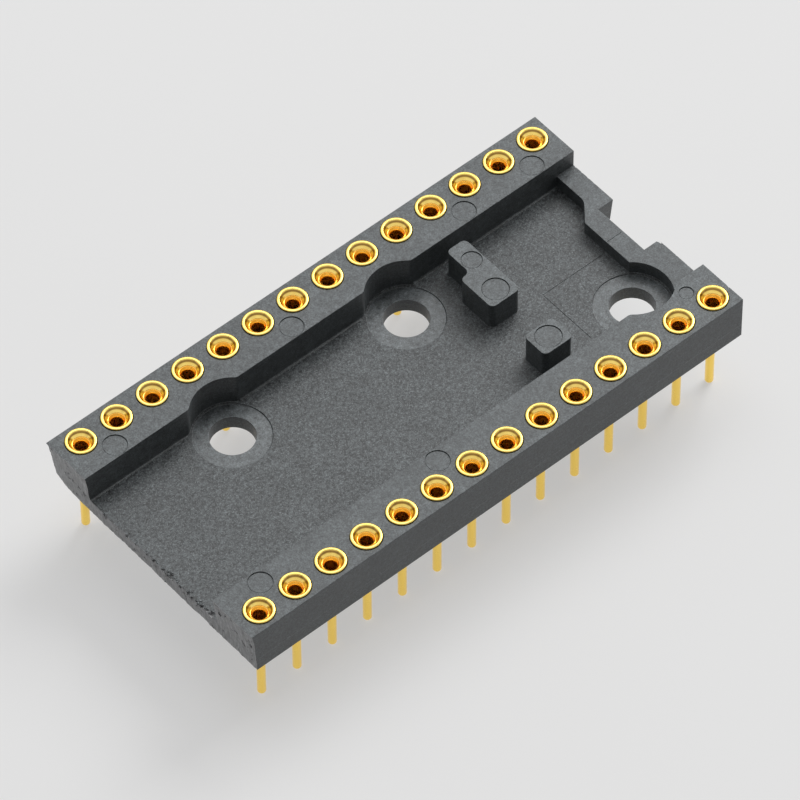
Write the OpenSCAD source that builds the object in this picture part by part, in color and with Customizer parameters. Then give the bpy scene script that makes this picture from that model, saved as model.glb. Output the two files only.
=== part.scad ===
// Dual in-line socket with machined, screw-machine contacts, moulded as an open frame
// on a thin floor, and snapped off a longer strip at its left end.
// X runs along the contact rows towards the notched end, and Z points up.
// The origin is the centre of the contact grid, on the board's surface: the shoulders of
// the contacts rest there and their tails reach below it.
// All lengths are in millimetres.

/* [Contact grid] */
// Contacts in each of the two rows
contacts_per_row = 14; // [6:1:14]
// Distance from one contact to the next along a row
pitch = 2.54; // [2.45:0.01:2.8]
// Distance between the two rows
row_spacing = 15.24; // [14.8:0.02:18]

/* [Moulded body] */
// Height of the two rails, from underside to top
rail_height = 3.18; // [3:0.01:4]
// Width of each rail
rail_width = 3.35; // [2.9:0.01:3.8]
// Distance from a row of contacts to the outer face of its rail
rail_outer = 1.18; // [1.05:0.01:1.6]
// Thickness of the floor between the rails
floor_thickness = 1.02; // [0.7:0.01:1.4]
// Distance from the last contacts to the finished end
finished_margin = 1.24; // [1.1:0.01:1.6]
// Distance from the first contacts to the broken end, at the top of the rails
broken_margin = 1.59; // [1.3:0.01:2.2]
// How far the break leans in, from the top of the rails to the underside
break_lean = 0.36; // [0:0.01:0.6]
// Radius where the rails rise from the floor
root_fillet = 0.15; // [0.05:0.01:0.4]
// Deepest bite of the upright scoops in the broken end
scoop_depth = 0.05; // [0.02:0.01:0.12]

/* [End wall] */
// Height of the end wall, from the underside
wall_height = 1.93; // [1.5:0.01:2.9]
// Thickness of the end wall near the back rail
wall_thin = 1.3; // [1:0.05:1.8]
// Thickness of the end wall behind the notch
wall_thick = 2.35; // [2.1:0.05:2.8]
// Where the wall begins to thicken, from the middle of the floor
jog_start = 3.1; // [2.9:0.05:3.3]
// Where the wall reaches its full thickness, from the middle of the floor
jog_end = 1.85; // [1.5:0.05:2]
// Radius of the bend where the wall begins to thicken
jog_radius = 0.9; // [0.2:0.05:1]
// Depth of the notch that marks the end of contact 1
notch_depth = 1.1; // [0.6:0.05:1.3]
// Distance from the middle of the floor to the notch's back side
notch_back = 2.08; // [1.4:0.02:2.3]
// Distance from the middle of the floor to the notch's front side
notch_front = 1.78; // [1.3:0.02:1.9]
// How much the notch's back side leans out from top to bottom
notch_draft = 0.2; // [0:0.01:0.3]

/* [Posts] */
// Height of the posts, from the underside of the body
post_height = 2.93; // [2.2:0.01:3.18]
// Length of each post along the rows
post_length = 2.12; // [1.6:0.02:2.5]
// Distance from the second screw hole to the near side of the posts
post_offset = 3.07; // [2.5:0.01:3.4]
// Width of the front post across the rows
front_post_width = 1.82; // [1.2:0.02:2.2]
// Distance from the front post to the inner face of the front rail
front_post_gap = 1.03; // [0.6:0.01:1.4]
// Width of the head of the back post across the rows
head_width = 2.75; // [1.6:0.05:2.9]
// Distance from the middle of the floor to the head of the back post
head_offset = 0.05; // [0:0.01:0.4]
// Distance from the back post to the inner face of the back rail
arm_gap = 0.64; // [0.3:0.01:1]
// Thickness of the back post's arm, along the rows
arm_thickness = 1.4; // [1:0.05:1.9]
// Radius of the upright corners of the posts
post_radius = 0.34; // [0.1:0.01:0.45]

/* [Screw holes] */
// Diameter of the screw holes through the floor
screw_hole_d = 2.66; // [2.2:0.01:2.9]
// Distance from a screw hole to the row of contacts beside it
screw_to_row = 3.81; // [3.7:0.01:4.2]
// Diameter of the spot face round each screw hole
spot_face_d = 4.5; // [4:0.05:4.8]
// Depth of the spot face below the floor
spot_face_depth = 0.07; // [0.04:0.01:0.3]
// Room for the screw head beyond the spot face, all round
head_clearance = 0.12; // [0.05:0.01:0.15]
// Radius of the edges where the room for a screw head meets a rail
head_edge_radius = 0.35; // [0.1:0.01:0.5]

/* [Ejector marks] */
// Diameter of the ejector marks on the rails
ejector_d = 1.4; // [0.8:0.05:1.5]
// Diameter of the ejector marks on the posts
post_ejector_d = 1.56; // [0.8:0.02:1.6]
// Diameter of the ejector mark on the back post's arm
arm_ejector_d = 1.18; // [0.5:0.02:1.24]
// Diameter of the small ejector marks
small_ejector_d = 0.84; // [0.5:0.02:1]
// Depth of the ejector marks
ejector_depth = 0.05; // [0.02:0.01:0.08]
// Distance from the ejector marks on the rails to the rails' inner edges
ejector_inset = 0.06; // [0.02:0.01:0.1]
// Distance from the small ejector mark to its rail's inner edge
small_ejector_inset = 0.5; // [0.3:0.02:0.7]

/* [Contact sleeve] */
// Diameter of the sleeve's flange
flange_d = 1.8; // [1.7:0.01:2]
// Thickness of the flange
flange_thickness = 0.24; // [0.2:0.01:0.4]
// How far the flange stands above the rail
flange_rise = 0.1; // [0.05:0.01:0.2]
// Radius of the flange's top edge
flange_edge_radius = 0.06; // [0.02:0.01:0.09]
// Gap round the flange in its recess
recess_gap = 0.03; // [0.02:0.01:0.12]
// Diameter of the barrel that the rail grips
barrel_d = 1.42; // [1.36:0.01:1.55]
// Diameter of the shoulder under the rail
shoulder_d = 1.32; // [1:0.01:1.36]
// Height of the shoulder, which holds the body clear of the board
standoff = 0.7; // [0.5:0.01:1.5]
// Diameter of the solder tail
tail_d = 0.51; // [0.45:0.01:0.6]
// Length of the solder tail below the board's surface
tail_length = 3.55; // [2.5:0.01:4]
// Radius of the tail's rounded tip
tail_tip_radius = 0.16; // [0.05:0.01:0.2]
// Diameter of the mouth of the lead-in cup
cup_d = 1.48; // [1.4:0.01:1.52]
// Depth of the lead-in cup
cup_depth = 0.32; // [0.26:0.01:0.5]
// Diameter of the bore that holds the clip
clip_bore_d = 1.06; // [1.02:0.01:1.1]
// Depth of the bore below the cup
clip_bore_depth = 2.45; // [2.35:0.01:2.6]

/* [Contact clip] */
// Thickness of the clip's spring sheet
clip_sheet = 0.12; // [0.08:0.01:0.12]
// Diameter of the clip's round collar, inside
collar_d = 0.72; // [0.66:0.01:0.74]
// Depth of the funnel above the collar
funnel_depth = 0.15; // [0.08:0.01:0.2]
// Length of the collar, from the funnel to the fingers
collar_length = 0.42; // [0.2:0.01:0.6]
// Length of the fingers, from the collar to the throat
finger_length = 1.4; // [1:0.01:1.5]
// Length of the finger tips, past the throat
tip_length = 0.25; // [0.1:0.01:0.3]
// Diameter of the throat where the fingers grip a lead
throat_d = 0.4; // [0.3:0.01:0.45]
// Number of slots across the clip, each parting two pairs of fingers
slot_count = 2; // [2:1:3]
// Width of the slots between the fingers
slot_width = 0.1; // [0.06:0.01:0.12]

/* [Hidden] */
$fn = 48;
EPS = 0.01;
CUT = 1;
PLASTIC = [0.16, 0.17, 0.18];
GOLD = [0.93, 0.71, 0.22];
SPRING_GOLD = [0.88, 0.63, 0.2];

contact_count = 2 * contacts_per_row;
first_x = -(contacts_per_row - 1) / 2 * pitch;
last_x = -first_x;
row_y = row_spacing / 2;

underside_z = standoff;
floor_z = underside_z + floor_thickness;
wall_z = underside_z + wall_height;
post_z = underside_z + post_height;
rail_z = underside_z + rail_height;
rim_z = rail_z + flange_rise;
cup_floor_z = rim_z - cup_depth;

left_x = first_x - broken_margin;
right_x = last_x + finished_margin;
body_length = right_x - left_x;
outer_y = row_y + rail_outer;
inner_y = outer_y - rail_width;

// Screw holes stand on the half steps of the contact grid: [steps from the middle, side].
screw_steps = [[-3.5, 1], [1.5, 1], [5.5, -1]];
screw_y = row_y - screw_to_row;
head_room_d = spot_face_d + 2 * head_clearance;

post_x = screw_steps[1][0] * pitch + post_offset;
post_mid_x = post_x + post_length / 2;
arm_mid_x = post_x + post_length - arm_thickness / 2;
arm_end_y = inner_y - arm_gap;
front_post_y = -inner_y + front_post_gap;
head_mark_y = head_offset + post_length * 3 / 7;

// Places of the rails' ejector marks, in steps of the contact grid from the middle
BACK_EJECTOR_STEPS = [-6, -1, 4];
FRONT_EJECTOR_STEPS = [-6, -1];

// Shares of the height at which the leaning break is drawn
BREAK_STEPS = [0:1 / 6:1];
BREAK_CURVE = 0.5;
SCOOPS = 15;
SCOOP_RADIUS = 0.35;
SCOOP_RADIUS_SPREAD = 0.5;
SCOOP_LEAST = 0.2;

function two_digits(i) = str(i < 10 ? "0" : "", i);
function sleeve_name(i) = str("sleeve_", two_digits(i));
function clip_name(i) = str("clip_", two_digits(i));

// Contacts are numbered as on a chip: 1 is at the notched end of the front row, the
// numbers run along the front row, and they come back along the back row.
function contact_x(i) =
    i <= contacts_per_row
        ? last_x - (i - 1) * pitch
        : first_x + (i - contacts_per_row - 1) * pitch;
function contact_y(i) = i <= contacts_per_row ? -row_y : row_y;

// Share of the lean that the break has reached at a share of the depth
function break_x(depth_share) = left_x + break_lean * pow(depth_share, BREAK_CURVE);

// Repeatable scatter between 0 and 1 for the scoops of the break
function scatter(i, salt) = abs(sin(i * 137.5 + salt * 71.3));

// Points of an arc, for turned profiles
function arc(centre, radius, from, to, steps = 5) = [
    for (k = [0:steps])
        let (a = from + (to - from) * k / steps)
            centre + radius * [cos(a), sin(a)]
];

module place_contact(i) {
    translate([contact_x(i), contact_y(i), 0])
        children();
}

module at_screws() {
    for (s = screw_steps)
        translate([s[0] * pitch, s[1] * screw_y, 0])
            children();
}

// ---------------------------------------------------------------- moulded body

module floor_plate() {
    translate([left_x, -inner_y - EPS, underside_z])
        cube([body_length, 2 * inner_y + 2 * EPS, floor_thickness]);
}

module rail(side) {
    y = side > 0 ? inner_y : -outer_y;
    translate([left_x, y, underside_z])
        cube([body_length, rail_width, rail_height]);
}

// Fillet along the foot of a rail
module rail_root(side) {
    mirror([0, side > 0 ? 0 : 1, 0])
        translate([left_x, inner_y - root_fillet, floor_z])
            difference() {
                translate([0, 0, -EPS])
                    cube([body_length, root_fillet + EPS, root_fillet + EPS]);
                translate([-EPS, 0, root_fillet])
                    rotate([0, 90, 0])
                        cylinder(h = body_length + 2 * EPS, r = root_fillet);
            }
}

// The end wall, thicker behind the notch, with a rounded bend where it thickens
module end_wall() {
    thin_x = right_x - wall_thin;
    thick_x = right_x - wall_thick;
    slope = atan2(wall_thick - wall_thin, jog_start - jog_end);
    bend = jog_radius * tan(slope / 2);
    bend_centre = [thin_x - jog_radius, jog_start + bend];
    outline = concat(
        [
            [right_x, -inner_y - EPS],
            [right_x, inner_y + EPS],
            [thin_x, inner_y + EPS]
        ],
        arc(bend_centre, jog_radius, 0, -slope),
        [
            [thick_x, jog_end],
            [thick_x, -inner_y - EPS]
        ]
    );
    translate([0, 0, floor_z - EPS])
        linear_extrude(wall_z - floor_z + EPS)
            polygon(outline);
}

module rounded_post(x, y, length, width) {
    height = post_z - floor_z + EPS;
    translate([x, y, floor_z - EPS]) {
        translate([post_radius, 0, 0])
            cube([length - 2 * post_radius, width, height]);
        translate([0, post_radius, 0])
            cube([length, width - 2 * post_radius, height]);
        for (u = [post_radius, length - post_radius], v = [post_radius, width - post_radius])
            translate([u, v, 0])
                cylinder(h = height, r = post_radius);
    }
}

// The back post: a head with a narrower arm that reaches towards the back rail
module back_post() {
    arm_x = post_x + post_length - arm_thickness;
    head_top_y = head_offset + head_width;
    rounded_post(post_x, head_offset, post_length, head_width);
    rounded_post(arm_x, head_offset, arm_thickness, arm_end_y - head_offset);
    translate([arm_x - post_radius, head_top_y, floor_z - EPS])
        difference() {
            translate([0, -post_radius, 0])
                cube([post_radius + EPS, 2 * post_radius, post_z - floor_z + EPS]);
            translate([0, post_radius, -EPS])
                cylinder(h = post_z - floor_z + 3 * EPS, r = post_radius);
        }
}

module front_post() {
    rounded_post(post_x, front_post_y, post_length, front_post_width);
}

// Outline of the room for a screw head: a circle whose cut through the rail ends in two
// rounded edges. The rail lies on the +Y side, and the circle goes on through the floor side.
function head_room_outline() =
    let (
        radius = head_room_d / 2,
        rail_y = inner_y - screw_y,
        edge_y = rail_y + head_edge_radius,
        edge_x = sqrt(pow(radius + head_edge_radius, 2) - pow(edge_y, 2)),
        meet = atan2(edge_y, edge_x),
        leave = asin((rail_y - head_edge_radius) / radius)
    )
    concat(
        arc([edge_x, edge_y], head_edge_radius, 270, 180 + meet),
        arc([0, 0], radius, meet, 180 - meet, 12),
        arc([-edge_x, edge_y], head_edge_radius, -meet, -90),
        arc([0, 0], radius, 180 - leave, 360 + leave, 30)
    );

module screw_head_room(side) {
    mirror([0, side > 0 ? 0 : 1, 0])
        translate([0, 0, floor_z])
            linear_extrude(rail_height - floor_thickness + CUT)
                polygon(head_room_outline());
}

module screw_cuts() {
    at_screws() {
        translate([0, 0, underside_z - CUT])
            cylinder(h = floor_thickness + 2 * CUT, d = screw_hole_d);
        translate([0, 0, floor_z - spot_face_depth])
            cylinder(h = spot_face_depth + CUT, d = spot_face_d);
    }
    for (s = screw_steps)
        translate([s[0] * pitch, s[1] * screw_y, 0])
            screw_head_room(s[1]);
}

// The notch through the end wall and the floor; its back side leans outwards going down
module notch() {
    slope = notch_draft / wall_height;
    translate([right_x - notch_depth, 0, 0])
        rotate([90, 0, 90])
            linear_extrude(notch_depth + CUT)
                polygon([
                    [-notch_front, underside_z - CUT],
                    [notch_back + notch_draft + slope * CUT, underside_z - CUT],
                    [notch_back - slope * CUT, wall_z + CUT],
                    [-notch_front, wall_z + CUT]
                ]);
}

// A hole for one sleeve, with the shallow recess that its flange sits in
module sleeve_seat() {
    recess_depth = flange_thickness - flange_rise;
    translate([0, 0, underside_z - CUT])
        cylinder(h = rail_height + 2 * CUT, d = barrel_d);
    translate([0, 0, rail_z - recess_depth])
        cylinder(h = recess_depth + CUT, d = flange_d + 2 * recess_gap);
}

module ejector_mark(x, y, top_z, d) {
    translate([x, y, top_z - ejector_depth])
        cylinder(h = ejector_depth + CUT, d = d);
}

module ejector_marks() {
    rail_mark_y = inner_y + ejector_inset + ejector_d / 2;
    small_mark_y = inner_y + small_ejector_inset + small_ejector_d / 2;
    for (step = BACK_EJECTOR_STEPS)
        ejector_mark(step * pitch, rail_mark_y, rail_z, ejector_d);
    for (step = FRONT_EJECTOR_STEPS)
        ejector_mark(step * pitch, -rail_mark_y, rail_z, ejector_d);
    ejector_mark(last_x - pitch / 2, rail_mark_y, rail_z, ejector_d);
    ejector_mark(last_x - pitch / 3, -small_mark_y, rail_z, small_ejector_d);
    ejector_mark(arm_mid_x, arm_end_y - arm_thickness, post_z, arm_ejector_d);
    ejector_mark(post_mid_x, head_mark_y, post_z, post_ejector_d);
    ejector_mark(post_mid_x, front_post_y + front_post_width / 2, post_z, post_ejector_d);
}

// What the break took away: a leaning, slightly curved face with upright scoops in it
module broken_end() {
    top_z = rail_z + CUT;
    low_z = underside_z - CUT;
    face = [for (s = BREAK_STEPS) [break_x(s), rail_z - s * rail_height]];
    translate([0, outer_y + CUT, 0])
        rotate([90, 0, 0])
            linear_extrude(2 * (outer_y + CUT))
                polygon(concat(
                    [[left_x - CUT, low_z], [left_x - CUT, top_z], [left_x, top_z]],
                    face,
                    [[break_x(1), low_z]]
                ));
    spacing = 2 * outer_y / SCOOPS;
    for (k = [0:SCOOPS - 1]) {
        radius = SCOOP_RADIUS + SCOOP_RADIUS_SPREAD * scatter(k, 1);
        bite = scoop_depth * (SCOOP_LEAST + (1 - SCOOP_LEAST) * scatter(k, 2));
        shift = (scatter(k, 3) - 0.5) / 2;
        translate([left_x + bite - radius, -outer_y + spacing * (k + 0.5 + shift), rail_z])
            rotate([0, -atan2(break_lean, rail_height), 0])
                translate([0, 0, -rail_height - CUT])
                    cylinder(h = rail_height + 2 * CUT, r = radius);
    }
}

module body() {
    color(PLASTIC)
        difference() {
            union() {
                floor_plate();
                end_wall();
                back_post();
                front_post();
                for (side = [-1, 1]) {
                    rail(side);
                    rail_root(side);
                }
            }
            screw_cuts();
            notch();
            ejector_marks();
            broken_end();
            for (i = [1:contact_count])
                place_contact(i)
                    sleeve_seat();
        }
}

// ------------------------------------------------------------- turned contact sleeve

// Half section of the sleeve, from the rim outwards, down the outside, and up the bore
function sleeve_section() = concat(
    [[cup_d / 2, rim_z]],
    arc(
        [flange_d / 2 - flange_edge_radius, rim_z - flange_edge_radius],
        flange_edge_radius, 90, 0
    ),
    [
        [flange_d / 2, rim_z - flange_thickness],
        [barrel_d / 2, rim_z - flange_thickness],
        [barrel_d / 2, underside_z],
        [shoulder_d / 2, underside_z],
        [shoulder_d / 2, 0],
        [tail_d / 2, 0]
    ],
    arc(
        [tail_d / 2 - tail_tip_radius, tail_tip_radius - tail_length],
        tail_tip_radius, 0, -90
    ),
    [
        [0, -tail_length],
        [0, cup_floor_z - clip_bore_depth - clip_bore_d / 6],
        [clip_bore_d / 2, cup_floor_z - clip_bore_depth],
        [clip_bore_d / 2, cup_floor_z]
    ]
);

module sleeve(i) {
    color(GOLD)
        place_contact(i)
            rotate_extrude()
                polygon(sleeve_section());
}

// ------------------------------------------------------------- sprung contact clip

collar_z = cup_floor_z - funnel_depth;
finger_z = collar_z - collar_length;
throat_z = finger_z - finger_length;
clip_end_z = throat_z - tip_length;

// Half section of the clip: a funnel, a round collar, and fingers that close on a lead
function clip_section() = [
    [clip_bore_d / 2, cup_floor_z],
    [clip_bore_d / 2, collar_z],
    [collar_d / 2 + clip_sheet, collar_z - clip_sheet / 2],
    [collar_d / 2 + clip_sheet, finger_z],
    [throat_d / 2 + clip_sheet, throat_z],
    [throat_d / 2 + 1.3 * clip_sheet, clip_end_z],
    [throat_d / 2 + 0.5 * clip_sheet, clip_end_z],
    [throat_d / 2, throat_z],
    [collar_d / 2, finger_z],
    [collar_d / 2, collar_z],
    [clip_bore_d / 2 - clip_sheet / 4, cup_floor_z]
];

module finger_slots() {
    for (k = [0:slot_count - 1])
        rotate([0, 0, k * 180 / slot_count])
            translate([-clip_bore_d, -slot_width / 2, clip_end_z - CUT])
                cube([2 * clip_bore_d, slot_width, finger_z - clip_end_z + CUT]);
}

module clip(i) {
    color(SPRING_GOLD)
        place_contact(i)
            difference() {
                rotate_extrude()
                    polygon(clip_section());
                finger_slots();
            }
}

// ---------------------------------------------------------------------- assembly

body();
for (i = [1:contact_count]) {
    sleeve(i);
    clip(i);
}
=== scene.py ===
"""Looks of the open-frame dual in-line socket: surfaces, fine mesh detail, stage, light and camera.

Shapes are worked in millimetres and scaled to metres at the end, in the frame of the CAD.
"""
import math
import random

import bmesh
import bpy
from mathutils import Matrix, Vector, noise


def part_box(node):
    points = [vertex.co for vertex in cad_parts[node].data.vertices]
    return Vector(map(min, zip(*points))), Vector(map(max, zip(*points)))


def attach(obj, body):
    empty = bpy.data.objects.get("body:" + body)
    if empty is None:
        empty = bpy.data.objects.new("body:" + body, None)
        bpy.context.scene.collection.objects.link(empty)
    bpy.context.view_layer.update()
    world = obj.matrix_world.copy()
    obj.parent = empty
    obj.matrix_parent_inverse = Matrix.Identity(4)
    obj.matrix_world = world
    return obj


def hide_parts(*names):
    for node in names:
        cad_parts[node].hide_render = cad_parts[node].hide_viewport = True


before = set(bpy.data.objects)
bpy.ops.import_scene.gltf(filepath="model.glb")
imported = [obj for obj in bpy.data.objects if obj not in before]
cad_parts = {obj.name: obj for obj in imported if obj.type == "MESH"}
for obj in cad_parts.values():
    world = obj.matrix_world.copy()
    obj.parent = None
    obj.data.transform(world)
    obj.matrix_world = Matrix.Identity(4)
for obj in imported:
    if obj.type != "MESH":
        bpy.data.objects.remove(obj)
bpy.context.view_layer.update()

MM = 0.001

# ------------------------------------------------------------------ places, from the CAD's boxes

PITCH = 2.54
CONTACTS = 28
FLOOR_THICK, WALL_RISE, POST_RISE = 1.02, 1.93, 2.93
RAIL_WIDTH = 3.35
SPOT_DEPTH = 0.07
BREAK_LEAN, BREAK_CURVE = 0.36, 0.5


def box_mm(node):
    low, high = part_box(node)
    return low / MM, high / MM


def contact_places():
    """Each contact's axis, in millimetres, from the middle of its sleeve's box."""
    places = {}
    for i in range(1, CONTACTS + 1):
        low, high = box_mm(f"sleeve_{i:02d}")
        places[i] = ((low.x + high.x) / 2, (low.y + high.y) / 2)
    return places


BODY_LOW, BODY_HIGH = box_mm("body")
SLEEVE_LOW, SLEEVE_HIGH = box_mm("sleeve_01")
PLACES = contact_places()
LAST_X, ROW_Y = PLACES[CONTACTS]
TIP_Z, RIM_Z = SLEEVE_LOW.z, SLEEVE_HIGH.z
UNDER_Z, RAIL_Z = BODY_LOW.z, BODY_HIGH.z
FLOOR_Z = UNDER_Z + FLOOR_THICK
WALL_Z = UNDER_Z + WALL_RISE
POST_Z = UNDER_Z + POST_RISE
OUTER_Y = BODY_HIGH.y
INNER_Y = OUTER_Y - RAIL_WIDTH
LEFT_X, RIGHT_X = BODY_LOW.x, BODY_HIGH.x

# ------------------------------------------------------------------ node helpers


class Nodes:
    """Builds one node tree, with inputs given by name as values or sockets."""

    def __init__(self, tree):
        self.tree = tree
        tree.nodes.clear()

    def add(self, kind, inputs=None, **props):
        node = self.tree.nodes.new(kind)
        for key, value in props.items():
            setattr(node, key, value)
        for key, value in (inputs or {}).items():
            self.put(node.inputs[key], value)
        return node

    def put(self, socket, value):
        if isinstance(value, bpy.types.NodeSocket):
            self.tree.links.new(value, socket)
        else:
            socket.default_value = value

    def finish(self, kind, shader):
        """Joins a shader to the tree's output."""
        out = self.add(kind)
        self.tree.links.new(shader.outputs[0], out.inputs[0])

    def math(self, operation, a, b=0.0, c=0.0):
        return self.add("ShaderNodeMath", {0: a, 1: b, 2: c}, operation=operation).outputs[0]

    def plus(self, a, b):
        return self.math("ADD", a, b)

    def minus(self, a, b):
        return self.math("SUBTRACT", a, b)

    def times(self, a, b):
        return self.math("MULTIPLY", a, b)

    def most(self, a, b):
        return self.math("MAXIMUM", a, b)

    def line(self, value, slope, start):
        """The value times a slope, plus a start."""
        return self.math("MULTIPLY_ADD", value, slope, start)

    def span(self, value, low, high, to_low=0.0, to_high=1.0, smooth=False):
        """Carries a value from one range to another, and holds it there past the ends."""
        kind = "SMOOTHSTEP" if smooth else "LINEAR"
        node = self.add("ShaderNodeMapRange", {0: value, 1: low, 2: high, 3: to_low, 4: to_high},
                        interpolation_type=kind, clamp=True)
        return node.outputs[0]

    def swing(self, value, low, high):
        """Carries the middle of a noise, 0.3 to 0.7, to a range."""
        return self.span(value, 0.3, 0.7, low, high)

    def at_level(self, value, level, half):
        """1 within half of a level, and 0 from twice that."""
        return self.span(self.math("ABSOLUTE", self.minus(value, level)), half, 2 * half, 1.0, 0.0)

    def mix(self, factor, a, b, blend="MIX"):
        node = self.add("ShaderNodeMix", data_type="RGBA", blend_type=blend)
        self.put(node.inputs[0], factor)
        self.put(node.inputs[6], a)
        self.put(node.inputs[7], b)
        return node.outputs[2]

    def even_grey(self, tone):
        """A tone as a colour."""
        return self.add("ShaderNodeCombineColor", {0: tone, 1: tone, 2: tone}).outputs[0]

    def shade(self, colour, tone):
        """A fixed colour made lighter or darker by a tone."""
        return self.mix(1.0, colour, self.even_grey(tone), "MULTIPLY")

    def noise(self, vector, scale, detail=2.0, roughness=0.5):
        inputs = {"Vector": vector, "Scale": scale, "Detail": detail, "Roughness": roughness}
        return self.add("ShaderNodeTexNoise", inputs).outputs["Fac"]

    def mapping(self, vector, scale=(1, 1, 1), rotation=(0, 0, 0)):
        return self.add("ShaderNodeMapping", {"Vector": vector, "Scale": scale, "Rotation": rotation}).outputs[0]

    def split(self, vector):
        return self.add("ShaderNodeSeparateXYZ", {0: vector}).outputs

    def bump(self, height, strength, depth):
        """The normal of a surface whose relief is depth millimetres."""
        return self.add("ShaderNodeBump", {"Strength": strength, "Distance": depth * MM, "Height": height}).outputs[0]

    def mm(self):
        """The surface point in millimetres."""
        point = self.add("ShaderNodeTexCoord").outputs["Object"]
        return self.mapping(point, scale=(1 / MM,) * 3)


def material(name):
    mat = bpy.data.materials.new(name)
    mat.use_nodes = True
    return mat, Nodes(mat.node_tree)


def finish_surface(n, inputs):
    n.finish("ShaderNodeOutputMaterial", n.add("ShaderNodeBsdfPrincipled", inputs))


def scaled(colour, factors):
    return tuple(c * k for c, k in zip(colour, (*factors, 1.0)))


def grey(value, tint=(1.0, 1.0, 1.0)):
    return scaled((value, value, value, 1.0), tint)


# ------------------------------------------------------------------ plastic

COOL = (0.90, 1.0, 1.04)
PLASTIC_GREY, FIBRE_GREY = 0.074, 0.36
# the break's grey and tint, and the grey of the painted shade in its pits
BROKEN_GREY, BROKEN_TINT, PIT_SHADE_GREY = 0.38, (0.99, 1.0, 1.02), 0.012
# the tone of the sides and of the rough floor, and the painted sheen of the light from above that tops, spot faces
# and post tops add to the sides'
SIDE_TONE, FLOOR_TONE = 0.92, 0.83
PAINTED_TOP_SHEEN, PAINTED_SPOT_SHEEN, PAINTED_POST_SHEEN = 0.48, 0.35, 0.25
# each set of glass fibres: how it is turned, its scale along and across, and where it starts and is full
FIBRE_SETS = ((0.3, 5.0, 17.0, 0.62, 0.74), (-0.75, 5.5, 18.0, 0.62, 0.74), (1.5, 6.0, 18.0, 0.63, 0.75))


def fibres(n, point, turn, along, across, low, high):
    """Short pale fibres lying one way: a stretched noise, cut off at a high level."""
    lying = n.mapping(point, rotation=(0, 0, turn))
    stretched = n.mapping(lying, scale=(along, across, across))
    return n.span(n.noise(stretched, 1.0, 1.0, 0.4), low, high)


def fibre_specks(n, point):
    """Fibres that lie in the surface, and the round ends of others."""
    first, second, third = (fibres(n, point, *fibre_set) for fibre_set in FIBRE_SETS)
    lying = n.most(n.most(first, second), third)
    ends = n.add("ShaderNodeTexVoronoi", {"Vector": point, "Scale": 5.5, "Randomness": 1.0})
    chosen = n.add("ShaderNodeSeparateColor", {0: ends.outputs["Color"]}).outputs[0]
    dots = n.times(n.span(ends.outputs["Distance"], 0.1, 0.2, 1.0, 0.0), n.span(chosen, 0.55, 0.8))
    return n.most(n.times(lying, 0.55), n.times(dots, 0.6))


def moulded_plastic():
    """Black glass-filled plastic: cloudy dark grey, with fine grain and pale fibre specks.

    The tops are painted lighter than the sides, a painted sheen of the light from above, and the post tops and
    the spot faces round the screw holes get more of it; the floor between the rails takes a tone of its own
    instead. The floor is the roughest, and the spot faces are the smoothest.
    """
    mat, n = material("moulded_plastic")
    point = n.mm()
    height = n.split(point)[2]
    clouds = n.noise(point, 0.45, 3.0, 0.55)
    mottle = n.noise(point, 3.2, 3.0, 0.6)
    grain = n.noise(point, 11.0, 2.0, 0.6)
    speckle = n.noise(point, 6.0, 2.0, 0.7)
    on_floor = n.at_level(height, FLOOR_Z, 0.015)
    on_spot = n.at_level(height, FLOOR_Z - SPOT_DEPTH, 0.015)
    on_post = n.at_level(height, POST_Z, 0.02)
    on_top = n.span(n.split(n.add("ShaderNodeNewGeometry").outputs["True Normal"])[2], 0.4, 0.8)

    # painted light: faces turned up are painted lighter as a painted sheen of the light from above, the spot faces
    # and post tops more so, and the floor is given its own tone instead
    extra = n.plus(n.times(on_spot, PAINTED_SPOT_SHEEN), n.times(on_post, PAINTED_POST_SHEEN))
    painted_sheen_tone = n.plus(n.line(on_top, PAINTED_TOP_SHEEN, SIDE_TONE), extra)
    painted_sheen_tone = n.plus(n.times(on_floor, FLOOR_TONE), n.times(n.minus(1.0, on_floor), painted_sheen_tone))
    speckle_tone = n.minus(n.span(speckle, 0.34, 0.66, 0.35, 1.75), 1.0)
    speckle_tone = n.line(speckle_tone, n.line(on_floor, 0.75, 0.25), 1.0)
    tone = n.times(n.swing(clouds, 0.85, 1.15), n.swing(mottle, 0.62, 1.42))
    tone = n.times(tone, n.swing(grain, 0.6, 1.45))
    tone = n.times(n.times(tone, painted_sheen_tone), speckle_tone)
    colour = n.shade(grey(PLASTIC_GREY, COOL), tone)

    specks = fibre_specks(n, point)
    strength = n.times(n.line(on_floor, 0.6, 0.35), n.line(on_spot, -0.6, 1.0))
    colour = n.mix(n.times(specks, strength), colour, grey(FIBRE_GREY, COOL))
    rough = n.plus(n.swing(mottle, 0.40, 0.54), n.times(on_spot, -0.14))
    relief = n.plus(n.plus(mottle, n.times(grain, 0.55)), n.times(specks, 0.3))
    relief = n.plus(relief, n.times(speckle, on_floor))
    finish_surface(n, {"Base Color": colour, "Roughness": rough, "Normal": n.bump(relief, 0.8, 0.014), "IOR": 1.5})
    return mat


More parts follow.
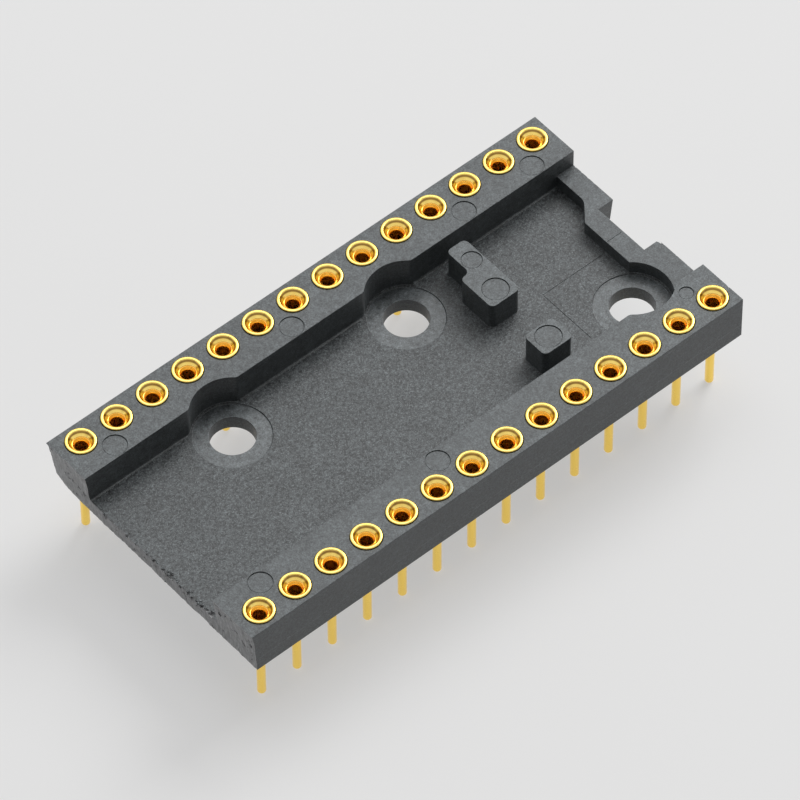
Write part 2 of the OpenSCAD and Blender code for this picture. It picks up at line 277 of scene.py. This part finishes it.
def broken_plastic():
    """The face of the break: paler and duller, scraped upright, with pits that dip in its relief and are painted dark
    as painted shade.
    """
    mat, n = material("broken_plastic")
    point = n.mm()
    scrape = n.noise(n.mapping(point, scale=(1.0, 5.5, 0.7), rotation=(0.35, 0, 0)), 1.3, 4.0, 0.65)
    mottle = n.noise(point, 3.0, 4.0, 0.65)
    grain = n.noise(point, 12.0, 2.0, 0.6)
    pits = n.span(n.noise(point, 2.1, 3.0, 0.7), 0.60, 0.68)
    tone = n.times(n.swing(scrape, 0.7, 1.3), n.swing(mottle, 0.75, 1.25))
    colour = n.shade(grey(BROKEN_GREY, BROKEN_TINT), tone)
    # painted shade: the pits are painted almost black, over their dip in the relief
    colour = n.mix(n.times(pits, 0.8), colour, grey(PIT_SHADE_GREY))
    relief = n.minus(n.plus(n.times(scrape, 1.2), n.times(grain, 0.5)), pits)
    finish_surface(n, {"Base Color": colour, "Roughness": n.swing(mottle, 0.55, 0.75),
                       "Normal": n.bump(relief, 0.9, 0.02)})
    return mat


# ------------------------------------------------------------------ gold

SLEEVE_GOLD = (1.0, 0.75, 0.21, 1.0)
CLIP_GOLD = (1.0, 0.62, 0.14, 1.0)
# the painted dark reflection in the cup wall, under its rim
PAINTED_CUP_REFLECTION = (0.17, 0.06, 0.01, 1.0)
FLANGE_R, BARREL_R, SHOULDER_R, TAIL_R = 0.9, 0.71, 0.66, 0.255
CUP_R, BORE_R = 0.74, 0.53


def gold(name, colour, rough_top, rough_tail, line_strength):
    """Gold plate over a turned part: fine turning lines, polished in the cup and satin on the tail."""
    mat, n = material(name)
    point = n.mm()
    x, y, z = n.split(point)
    step_x = n.times(n.minus(n.math("FRACT", n.math("DIVIDE", x, PITCH)), 0.5), PITCH)
    step_y = n.minus(n.math("ABSOLUTE", y), ROW_Y)
    radius = n.math("SQRT", n.plus(n.times(step_x, step_x), n.times(step_y, step_y)))
    lines = n.noise(n.add("ShaderNodeCombineXYZ", {0: radius, 1: 0.0, 2: z}).outputs[0], 26.0, 2.0, 0.6)
    cloud = n.noise(point, 2.4, 3.0, 0.6)
    fine = n.noise(point, 14.0, 2.0, 0.6)
    rough = n.line(n.span(z, UNDER_Z, RAIL_Z - 0.2), rough_top - rough_tail, rough_tail)
    rough = n.plus(rough, n.swing(cloud, -0.04, 0.05))
    tone = n.mix(n.span(cloud, 0.35, 0.7), colour, scaled(colour, (0.93, 0.88, 0.8)))
    tone = n.mix(n.span(z, UNDER_Z - 0.5, UNDER_Z), scaled(colour, (1.0, 0.93, 0.72)), tone)
    # painted reflection: the cup wall is painted darker in a band just under its rim, a painted dark reflection of
    # the surroundings
    painted_reflection_band = n.times(n.span(z, RIM_Z - 0.20, RIM_Z - 0.15), n.span(z, RIM_Z - 0.07, RIM_Z - 0.05, 1.0, 0.0))
    painted_reflection_band = n.times(painted_reflection_band, n.span(radius, CUP_R + 0.01, CUP_R + 0.03, 1.0, 0.0))
    tone = n.mix(n.times(painted_reflection_band, 0.8), tone, PAINTED_CUP_REFLECTION)
    relief = n.plus(lines, n.times(fine, 0.6))
    finish_surface(n, {"Base Color": tone, "Metallic": 1.0, "Roughness": rough,
                       "Normal": n.bump(relief, line_strength, 0.002)})
    return mat


# ------------------------------------------------------------------ mesh helpers


def to_object(bm, name, materials, smooth_angle=None):
    """A mesh in millimetres becomes an object in metres, with its place in its mesh."""
    bmesh.ops.recalc_face_normals(bm, faces=bm.faces)
    mesh = bpy.data.meshes.new(name)
    bm.to_mesh(mesh)
    bm.free()
    mesh.transform(Matrix.Scale(MM, 4))
    for mat in materials:
        mesh.materials.append(mat)
    obj = bpy.data.objects.new(name, mesh)
    bpy.context.scene.collection.objects.link(obj)
    if smooth_angle is not None:
        mesh.shade_smooth()
        mesh.set_sharp_from_angle(angle=math.radians(smooth_angle))
    return obj


def arc(cx, cz, radius, start, end, steps):
    """Points on an arc, with its angles in degrees."""
    angles = [math.radians(start + (end - start) * k / steps) for k in range(steps + 1)]
    return [(cx + radius * math.cos(a), cz + radius * math.sin(a)) for a in angles]


def add_lathe(bm, profile, centre, segments=64):
    """Turns a profile of (radius, height) about an upright axis; points on the axis close it."""
    cx, cy = centre
    angles = [2 * math.pi * k / segments for k in range(segments)]
    rings = []
    for radius, z in profile:
        if radius < 1e-6:
            rings.append([bm.verts.new((cx, cy, z))])
        else:
            rings.append([bm.verts.new((cx + radius * math.cos(a), cy + radius * math.sin(a), z)) for a in angles])
    for low, high in zip(rings, rings[1:]):
        for k in range(segments):
            j = (k + 1) % segments
            corners = [low[k % len(low)], low[j % len(low)], high[j % len(high)], high[k % len(high)]]
            unique = list(dict.fromkeys(corners))
            if len(unique) > 2:
                bm.faces.new(unique)


def wall_faces(bm, low, high):
    """A closed wall of four-sided faces between two loops of points."""
    for k in range(len(low)):
        j = (k + 1) % len(low)
        bm.faces.new((low[k], low[j], high[j], high[k]))


# ------------------------------------------------------------------ contacts

FLANGE_H, CUP_DEPTH, BORE_DEPTH = 0.24, 0.32, 2.45
CUP_FLOOR_Z = RIM_Z - CUP_DEPTH

# the sprung clip: a collar that leads into four closed fingers
SHEET, COLLAR_R, THROAT_R = 0.12, 0.36, 0.2
FINGERS, FINGER_GAP = 4, 12
COLLAR_Z = CUP_FLOOR_Z - 0.15
FINGER_Z = COLLAR_Z - 0.42
THROAT_Z = FINGER_Z - 1.4
CLIP_END_Z = THROAT_Z - 0.25


def sleeve_profile():
    """The CAD's turned section, with its small edges broken as a lathe leaves them."""
    tip, neck, shoulder, under, edge, lip = 0.16, 0.04, 0.05, 0.02, 0.07, 0.03
    flange_z = RIM_Z - FLANGE_H
    bore_end_z = CUP_FLOOR_Z - BORE_DEPTH
    profile = [(0.0, TIP_Z)]
    profile += arc(TAIL_R - tip, TIP_Z + tip, tip, -90, 0, 6)
    profile += [(TAIL_R, -neck)]
    profile += arc(TAIL_R + neck, -neck, neck, 180, 90, 3)
    profile += arc(SHOULDER_R - shoulder, shoulder, shoulder, -90, 0, 3)
    profile += [(SHOULDER_R, UNDER_Z), (BARREL_R, UNDER_Z), (BARREL_R, flange_z)]
    profile += arc(FLANGE_R - under, flange_z + under, under, -90, 0, 2)
    profile += arc(FLANGE_R - edge, RIM_Z - edge, edge, 0, 90, 6)
    profile += arc(CUP_R + lip, RIM_Z - lip, lip, 90, 150, 3)
    profile += [(BORE_R + lip, CUP_FLOOR_Z + lip), (BORE_R, CUP_FLOOR_Z)]
    profile += [(BORE_R, bore_end_z), (0.0, bore_end_z - BORE_R / 3)]
    return profile


def clip_profile():
    """The clip's outside, from the end of the fingers up, then its rolled mouth, then its inside."""
    outside = [(THROAT_R + 1.3 * SHEET, CLIP_END_Z), (THROAT_R + SHEET, THROAT_Z), (COLLAR_R + SHEET, FINGER_Z),
               (COLLAR_R + SHEET, COLLAR_Z - 0.06), (BORE_R - 0.01, COLLAR_Z), (BORE_R - 0.005, CUP_FLOOR_Z - 0.02)]
    mouth = [(BORE_R - 0.03, CUP_FLOOR_Z), (BORE_R - 0.06, CUP_FLOOR_Z - 0.015), (COLLAR_R + 0.05, COLLAR_Z + 0.03),
             (COLLAR_R + 0.012, COLLAR_Z - 0.01), (COLLAR_R, COLLAR_Z - 0.05)]
    inside = [(COLLAR_R, FINGER_Z), (THROAT_R, THROAT_Z), (THROAT_R + 0.5 * SHEET, CLIP_END_Z)]
    return outside, mouth, inside


def add_clip(bm, centre, turn):
    """A closed sleeve of sheet above, parting into four fingers below."""
    outside, mouth, inside = clip_profile()
    ring = outside[2:] + mouth + inside[:1]
    add_lathe(bm, ring + ring[:1], centre, 48)
    section = outside[:3] + inside
    cx, cy = centre
    turn_each, steps = 360 / FINGERS, 6
    for finger in range(FINGERS):
        start = turn + finger * turn_each + FINGER_GAP / 2
        angles = [math.radians(start + (turn_each - FINGER_GAP) * k / steps) for k in range(steps + 1)]
        rows = [[bm.verts.new((cx + r * math.cos(a), cy + r * math.sin(a), z)) for r, z in section] for a in angles]
        for one, two in zip(rows, rows[1:]):
            wall_faces(bm, one, two)
        bm.faces.new(rows[0])
        bm.faces.new(rows[-1][::-1])


def build_contacts(sleeve_gold, clip_gold):
    rng = random.Random(7)
    for i, centre in PLACES.items():
        bm = bmesh.new()
        add_lathe(bm, sleeve_profile(), centre)
        sleeve = to_object(bm, f"turned_sleeve_{i:02d}", [sleeve_gold], 30)
        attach(sleeve, "root")
        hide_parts(f"sleeve_{i:02d}")
        bm = bmesh.new()
        add_clip(bm, centre, rng.uniform(0, 90))
        clip = to_object(bm, f"sprung_clip_{i:02d}", [clip_gold], 30)
        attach(clip, "root")
        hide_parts(f"clip_{i:02d}")


# ------------------------------------------------------------------ the rough break and the chips

# waves of the broken face: height in mm, scale across the part, slant, scale upright, seed
BREAK_WAVES = ((0.035, 0.8, 0.0, 0.8, 3.1), (0.022, 5.0, 1.5, 1.2, 7.7), (0.016, 9.0, 0.0, 9.0, 1.9))
# pits in the ends of the rails at the break: across, height, size
END_PITS = ((-5.9, 3.0, 0.16), (-6.4, 3.3, 0.08), (-8.45, 2.6, 0.12), (-8.55, 3.2, 0.07), (7.2, 2.5, 0.07))
# ragged top edges at the right end: height, from and to across, largest bite
RAGGED_EDGES = ((RAIL_Z, -OUTER_Y, -INNER_Y, 0.07), (WALL_Z, -INNER_Y, -1.9, 0.06), (WALL_Z, 2.2, INNER_Y, 0.06),
                (RAIL_Z, INNER_Y, OUTER_Y, 0.02))
# the chipped corner by the notch: past the end, across, above the wall, size, squash, roughness
CHIPS = ((0.06, -1.78, 0.05, 0.3, (0.9, 1.1, 1.4), 0.25), (0.02, -2.15, 0.02, 0.12, (0.8, 1.6, 1.0), 0.3))


def fbm(x, y, z):
    return noise.fractal(Vector((x, y, z)), 1.0, 2.0, 4)


def between_0_and_1(value):
    return min(max(value, 0.0), 1.0)


def break_depth(y, z):
    """How far right of the moulding's left end the break lies at one place of its face."""
    share = between_0_and_1((RAIL_Z - z) / (RAIL_Z - UNDER_Z))
    lean = BREAK_LEAN * share ** BREAK_CURVE
    corner = between_0_and_1((y - 6.3) / 2.5)
    depth = lean + 0.05 + 0.24 * corner * corner * share
    for size, across, slant, upright, seed in BREAK_WAVES:
        depth += size * fbm(y * across + z * slant, z * upright, seed)
    # the top edge crumbles
    top = RAIL_Z if abs(y) > INNER_Y else FLOOR_Z
    depth += (0.05 + 0.04 * fbm(y * 1.7, 5.0, 0.3)) * math.exp(-max(top - z, 0.0) / 0.06)
    return max(depth, lean + 0.012)


def break_cutter():
    """Everything left of the rough face of the break."""
    bm = bmesh.new()
    rows, columns, past = 52, 260, 0.3
    low_z, high_z = UNDER_Z - past, RAIL_Z + past
    ys = [-OUTER_Y - past + (2 * OUTER_Y + 2 * past) * c / columns for c in range(columns + 1)]
    grid = []
    for r in range(rows + 1):
        z = low_z + (high_z - low_z) * r / rows
        grid.append([bm.verts.new((LEFT_X + break_depth(y, z), y, z)) for y in ys])
    for below, above in zip(grid, grid[1:]):
        for c in range(columns):
            bm.faces.new((below[c], below[c + 1], above[c + 1], above[c]))
    rim = grid[0] + [row[-1] for row in grid[1:]] + grid[-1][-2::-1] + [row[0] for row in grid[-2:0:-1]]
    far = [bm.verts.new((LEFT_X - 1.0, v.co.y, v.co.z)) for v in rim]
    wall_faces(bm, rim, far)
    bm.faces.new(far)
    return to_object(bm, "break_cutter", [])


def add_lump(bm, centre, radius, squash, rng, rough=0.35):
    """A small irregular lump."""
    seed = rng.uniform(0, 50)
    made = bmesh.ops.create_icosphere(bm, subdivisions=2, radius=1.0)
    for v in made["verts"]:
        d = v.co.normalized()
        swell = 1.0 + rough * noise.noise(d * 1.7 + Vector((seed, 0, 0))) * 2
        v.co = Vector(centre) + Vector((d.x * squash[0], d.y * squash[1], d.z * squash[2])) * radius * swell


def pit_cutter(rng):
    """Bites along the floor's broken edge and on the ends of the rails."""
    bm = bmesh.new()
    y = 4.2
    while y > -5.3:
        heavy = y < -0.3
        x = LEFT_X + break_depth(y, FLOOR_Z) + rng.uniform(-0.02, 0.05)
        size = rng.uniform(0.06, 0.2) if heavy else rng.uniform(0.03, 0.1)
        add_lump(bm, (x, y, FLOOR_Z - rng.uniform(0.0, 0.08)), size, (1.2, 1.5, 1.1), rng)
        y -= size * 3.0 + rng.uniform(0.05, 0.4 if heavy else 0.7)
    for y, z, size in END_PITS:
        add_lump(bm, (LEFT_X + break_depth(y, z), y, z), size, (1.0, 1.0, 1.5), rng)
    for z, low, high, largest in RAGGED_EDGES:
        y = low + 0.15
        while y < high - 0.1:
            size = rng.uniform(0.4, 1.0) * largest
            add_lump(bm, (RIGHT_X + 0.01, y, z - rng.uniform(-0.01, 0.03)), size, (1.0, 1.6, 1.0), rng)
            y += size * 3.5 + rng.uniform(0.05, 0.45)
    for past, y, above, size, squash, rough in CHIPS:
        add_lump(bm, (RIGHT_X + past, y, WALL_Z + above), size, squash, rng, rough)
    return to_object(bm, "pit_cutter", [])


def build_crumbs(plastic):
    """Loose crumbs that still hang on the broken edge of the floor."""
    rng = random.Random(23)
    bm = bmesh.new()
    for k in range(46):
        y = rng.uniform(-5.3, 3.5) if k % 3 else rng.uniform(-5.2, -1.0)
        size = rng.uniform(0.025, 0.07)
        x = LEFT_X + break_depth(y, FLOOR_Z) + rng.uniform(-0.03, 0.25)
        add_lump(bm, (x, y, FLOOR_Z + size * 0.2), size, (1.0, 1.2, 0.6), rng, 0.5)
    obj = to_object(bm, "break_crumbs", [plastic], 50)
    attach(obj, "root")


# ------------------------------------------------------------------ fine marks of the mould

RING_WIDTH, SEAM_WIDTH, SEAM_DEPTH, CUT_ABOVE = 0.05, 0.045, 0.03, 0.1
RAIL_MARK_R, SMALL_MARK_R, HEAD_MARK_R, POST_MARK_R = 0.7, 0.42, 0.6, 0.78
RAIL_MARK_Y = INNER_Y + 0.06 + RAIL_MARK_R
# rings round ejector pins: x, y, height, radius, depth
RINGS = ([(step * PITCH, RAIL_MARK_Y, RAIL_Z, RAIL_MARK_R, 0.08) for step in (-6, -1, 4)]
         + [(step * PITCH, -RAIL_MARK_Y, RAIL_Z, RAIL_MARK_R, 0.08) for step in (-6, -1)]
         + [(LAST_X - PITCH / 2, RAIL_MARK_Y, RAIL_Z, RAIL_MARK_R, 0.07),
            (LAST_X - PITCH / 3, -(INNER_Y + 0.92), RAIL_Z, SMALL_MARK_R, 0.08),
            (8.3, 3.41, POST_Z, HEAD_MARK_R, 0.08),
            (7.94, 0.96, POST_Z, POST_MARK_R, 0.09),
            (7.94, -3.51, POST_Z, POST_MARK_R, 0.09)])
# straight seams between the mould's inserts: from, to, height
SEAMS = (((10.66, 0.02), (15.2, 0.02), FLOOR_Z), ((10.66, -0.05), (10.66, -4.0), FLOOR_Z),
         ((15.45, 0.0), (16.5, 0.0), WALL_Z))


def add_ring(bm, x, y, z, radius, depth):
    """A ring-shaped cutter, for the thin witness line round an ejector pin."""
    inner, outer = radius - RING_WIDTH / 2, radius + RING_WIDTH / 2
    section = [(inner, z + CUT_ABOVE), (inner, z - depth), (outer, z - depth), (outer, z + CUT_ABOVE)]
    add_lathe(bm, section + section[:1], (x, y), 56)
    bmesh.ops.remove_doubles(bm, verts=bm.verts, dist=1e-5)


def add_seam(bm, a, b, z):
    """A thin straight cutter, for a witness line of the mould."""
    a, b = Vector(a), Vector(b)
    along = (b - a).normalized()
    side = Vector((-along.y, along.x)) * SEAM_WIDTH / 2
    corners = [a + side, a - side, b - side, b + side]
    low = [bm.verts.new((c.x, c.y, z - SEAM_DEPTH)) for c in corners]
    high = [bm.verts.new((c.x, c.y, z + CUT_ABOVE)) for c in corners]
    bm.faces.new(low)
    bm.faces.new(high[::-1])
    wall_faces(bm, high, low)


def witness_cutter():
    bm = bmesh.new()
    for ring in RINGS:
        add_ring(bm, *ring)
    for seam in SEAMS:
        add_seam(bm, *seam)
    return to_object(bm, "witness_cutter", [])


# ------------------------------------------------------------------ body

SHARP = math.radians(50)
BROAD_AREA = 0.4 * MM * MM
EDGE_ROUND = 0.03


def modifier(obj, kind, **settings):
    """Adds one modifier and applies it."""
    mod = obj.modifiers.new(kind.lower(), kind)
    for key, value in settings.items():
        setattr(mod, key, value)
    bpy.context.view_layer.update()
    graph = bpy.context.evaluated_depsgraph_get()
    mesh = bpy.data.meshes.new_from_object(obj.evaluated_get(graph))
    obj.modifiers.clear()
    old = obj.data
    obj.data = mesh
    bpy.data.meshes.remove(old)


def subtract(obj, cutter):
    modifier(obj, "BOOLEAN", operation="DIFFERENCE", solver="EXACT", object=cutter, material_mode="TRANSFER",
             use_self=cutter.name == "pit_cutter")
    bpy.data.objects.remove(cutter)


def round_edges(obj):
    """Rounds the moulding's sharp edges, but not those of the break."""
    bm = bmesh.new()
    bm.from_mesh(obj.data)
    weight = bm.edges.layers.float.new("bevel_weight_edge")
    for edge in bm.edges:
        if len(edge.link_faces) != 2 or edge.calc_length() < EDGE_ROUND:
            continue
        one, two = edge.link_faces
        if one.material_index or two.material_index:
            continue
        if one.normal.angle(two.normal, 0.0) > SHARP:
            edge[weight] = 1.0
    bm.to_mesh(obj.data)
    bm.free()
    modifier(obj, "BEVEL", width=EDGE_ROUND, segments=2, limit_method="WEIGHT", use_clamp_overlap=False,
             loop_slide=False, miter_outer="MITER_SHARP")


def broad_faces(mesh):
    """Which faces lie in a plane that is large in all."""
    keys, totals = [], {}
    for p in mesh.polygons:
        n = p.normal
        key = (round(n.x, 2), round(n.y, 2), round(n.z, 2), round(n.dot(p.center) / MM, 2), p.material_index)
        keys.append(key)
        totals[key] = totals.get(key, 0.0) + p.area
    return [totals[key] > BROAD_AREA for key in keys]


def set_flat_and_round_normals(obj):
    """Broad planes keep their own normal right up to their edges, and what lies between them is smooth."""
    mesh = obj.data
    mesh.shade_smooth()
    normals = [p.normal.copy() for p in mesh.polygons]
    areas = [p.area for p in mesh.polygons]
    kinds = [p.material_index for p in mesh.polygons]
    broad = broad_faces(mesh)
    near = math.cos(SHARP)
    around = [[] for _ in mesh.vertices]
    for p in mesh.polygons:
        for v in p.vertices:
            around[v].append(p.index)
    split = []
    for p in mesh.polygons:
        own, kind = normals[p.index], kinds[p.index]
        for v in p.vertices:
            if broad[p.index]:
                split.append(own)
                continue
            mates = [f for f in around[v] if kinds[f] == kind and normals[f].dot(own) > near]
            broad_mates = [f for f in mates if broad[f]]
            if broad_mates:
                split.append(normals[max(broad_mates, key=lambda f: normals[f].dot(own))])
            else:
                total = sum((normals[f] * areas[f] for f in mates), own * areas[p.index])
                split.append(total.normalized())
    mesh.normals_split_custom_set(split)


def build_body(plastic, broken):
    """The CAD body with rounded edges, a rough break, and fine marks of the mould."""
    bm = bmesh.new()
    bm.from_mesh(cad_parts["body"].data)
    bmesh.ops.scale(bm, vec=(1 / MM,) * 3, verts=bm.verts)
    bmesh.ops.remove_doubles(bm, verts=bm.verts, dist=0.0005)
    bmesh.ops.dissolve_limit(bm, angle_limit=math.radians(0.5), verts=bm.verts, edges=bm.edges)
    for face in bm.faces:
        face.material_index = 0
    # worked at a thousand times real size, where Blender's tolerances do no harm
    obj = to_object(bm, "socket_body", [plastic])
    big = Matrix.Scale(1 / MM, 4)
    obj.data.transform(big)
    cutters = [(break_cutter(), broken), (pit_cutter(random.Random(11)), broken), (witness_cutter(), plastic)]
    for k, (cutter, mat) in enumerate(cutters):
        cutter.data.transform(big)
        cutter.data.materials.append(mat)
        subtract(obj, cutter)
        if k == 0:
            round_edges(obj)
    obj.data.transform(Matrix.Scale(MM, 4))
    modifier(obj, "TRIANGULATE", quad_method="BEAUTY", ngon_method="BEAUTY")
    set_flat_and_round_normals(obj)
    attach(obj, "root")
    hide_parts("body")


# ------------------------------------------------------------------ camera

TARGET = Vector((-1.361, -1.669, RAIL_Z)) * MM
AZIMUTH, ELEVATION, ROLL = (math.radians(v) for v in (40.323, 52.076, -0.442))
DISTANCE = 0.418708
FOCAL_PIXELS, FRAME_PIXELS, SENSOR = 7586.56, 800, 36.0


def add_to_scene(name, data):
    obj = bpy.data.objects.new(name, data)
    bpy.context.scene.collection.objects.link(obj)
    return obj


def set_camera():
    back = Vector((-math.sin(AZIMUTH) * math.cos(ELEVATION), -math.cos(AZIMUTH) * math.cos(ELEVATION),
                   math.sin(ELEVATION)))
    level = Vector((math.cos(AZIMUTH), -math.sin(AZIMUTH), 0))
    upright = back.cross(level)
    right = math.cos(ROLL) * level + math.sin(ROLL) * upright
    up = -math.sin(ROLL) * level + math.cos(ROLL) * upright
    data = bpy.data.cameras.new("camera")
    data.sensor_width = SENSOR
    data.lens = FOCAL_PIXELS / FRAME_PIXELS * SENSOR
    data.clip_start = 0.01
    camera = add_to_scene("camera", data)
    turn = Matrix((right, up, back)).transposed().to_4x4()
    camera.matrix_world = Matrix.Translation(TARGET + back * DISTANCE) @ turn
    bpy.context.scene.camera = camera


# ------------------------------------------------------------------ stage and light

FLOOR_HALF = 900
PAPER_GREY = (0.71, 0.735)
# the floor's own glow: its grey, and its share where the floor is seen and where it is mirrored
PAPER_GLOW, GLOW_SEEN, GLOW_MIRRORED = 0.94, 0.5, 0.65
# the tent's grey at the front and the back, as it lights and as it is mirrored, and low down at the front
TENT_LIGHT, TENT_MIRRORED, TENT_LOW = (0.08, 0.50), (0.85, 1.0), 0.03
BACKGROUND_GREY = 0.8


def set_floor():
    mat, n = material("pale_floor")
    tone = n.swing(n.noise(n.mm(), 0.02, 3.0, 0.5), *PAPER_GREY)
    paper = n.add("ShaderNodeBsdfPrincipled", {"Base Color": n.even_grey(tone), "Roughness": 0.75,
                                               "Specular IOR Level": 0.2})
    # a pale paper keeps its paleness where it is seen, directly or in the gold
    glow = n.add("ShaderNodeEmission", {"Color": grey(PAPER_GLOW), "Strength": 1.0})
    rays = n.add("ShaderNodeLightPath").outputs
    share = n.most(n.times(rays["Is Camera Ray"], GLOW_SEEN), n.times(rays["Is Glossy Ray"], GLOW_MIRRORED))
    n.finish("ShaderNodeOutputMaterial",
             n.add("ShaderNodeMixShader", {0: share, 1: paper.outputs[0], 2: glow.outputs[0]}))
    bm = bmesh.new()
    bmesh.ops.create_grid(bm, x_segments=4, y_segments=4, size=FLOOR_HALF)
    for v in bm.verts:
        v.co.z = TIP_Z
    floor = to_object(bm, "floor", [mat])


def add_lamp(name, azimuth, elevation, distance, size, power):
    """A square soft lamp that looks at the object. Azimuth turns from +X towards +Y."""
    a, e = math.radians(azimuth), math.radians(elevation)
    way = Vector((math.cos(a) * math.cos(e), math.sin(a) * math.cos(e), math.sin(e)))
    data = bpy.data.lights.new(name, "AREA")
    data.size = size
    data.energy = power
    lamp = add_to_scene(name, data)
    lamp.location = way * distance
    lamp.rotation_euler = way.to_track_quat("Z", "Y").to_euler()


def set_world():
    """A pale tent around the object, open and dark low down at the front."""
    world = bpy.data.worlds.new("studio")
    world.use_nodes = True
    bpy.context.scene.world = world
    n = Nodes(world.node_tree)
    x, y, z = n.split(n.add("ShaderNodeTexCoord").outputs["Generated"])
    toward = n.plus(n.times(x, -math.sin(AZIMUTH)), n.times(y, -math.cos(AZIMUTH)))
    low_front = n.times(n.span(toward, 0.35, 0.7, smooth=True), n.span(z, 0.2, 0.34, 1.0, 0.0, smooth=True))
    behind = n.span(toward, -0.6, 0.6, 1.0, 0.0, smooth=True)
    rays = n.add("ShaderNodeLightPath").outputs
    light, mirrored = (n.mix(behind, grey(front), grey(back)) for front, back in (TENT_LIGHT, TENT_MIRRORED))
    tent = n.mix(rays["Is Glossy Ray"], light, mirrored)
    tent = n.mix(low_front, tent, grey(TENT_LOW))
    seen = n.mix(rays["Is Camera Ray"], tent, grey(BACKGROUND_GREY))
    n.finish("ShaderNodeOutputWorld", n.add("ShaderNodeBackground", {"Color": seen, "Strength": 1.0}))


# ------------------------------------------------------------------ scene

bpy.context.scene.view_settings.view_transform = "Standard"

moulded, broken = moulded_plastic(), broken_plastic()
build_body(moulded, broken)
build_crumbs(moulded)
build_contacts(gold("turned_gold", SLEEVE_GOLD, 0.16, 0.3, 0.4), gold("sprung_gold", CLIP_GOLD, 0.26, 0.3, 0.3))
set_floor()
set_world()
add_lamp("key", 13, 42, 0.6, 0.35, 2.3)
add_lamp("top", 72, 66, 0.6, 0.35, 0.55)
set_camera()
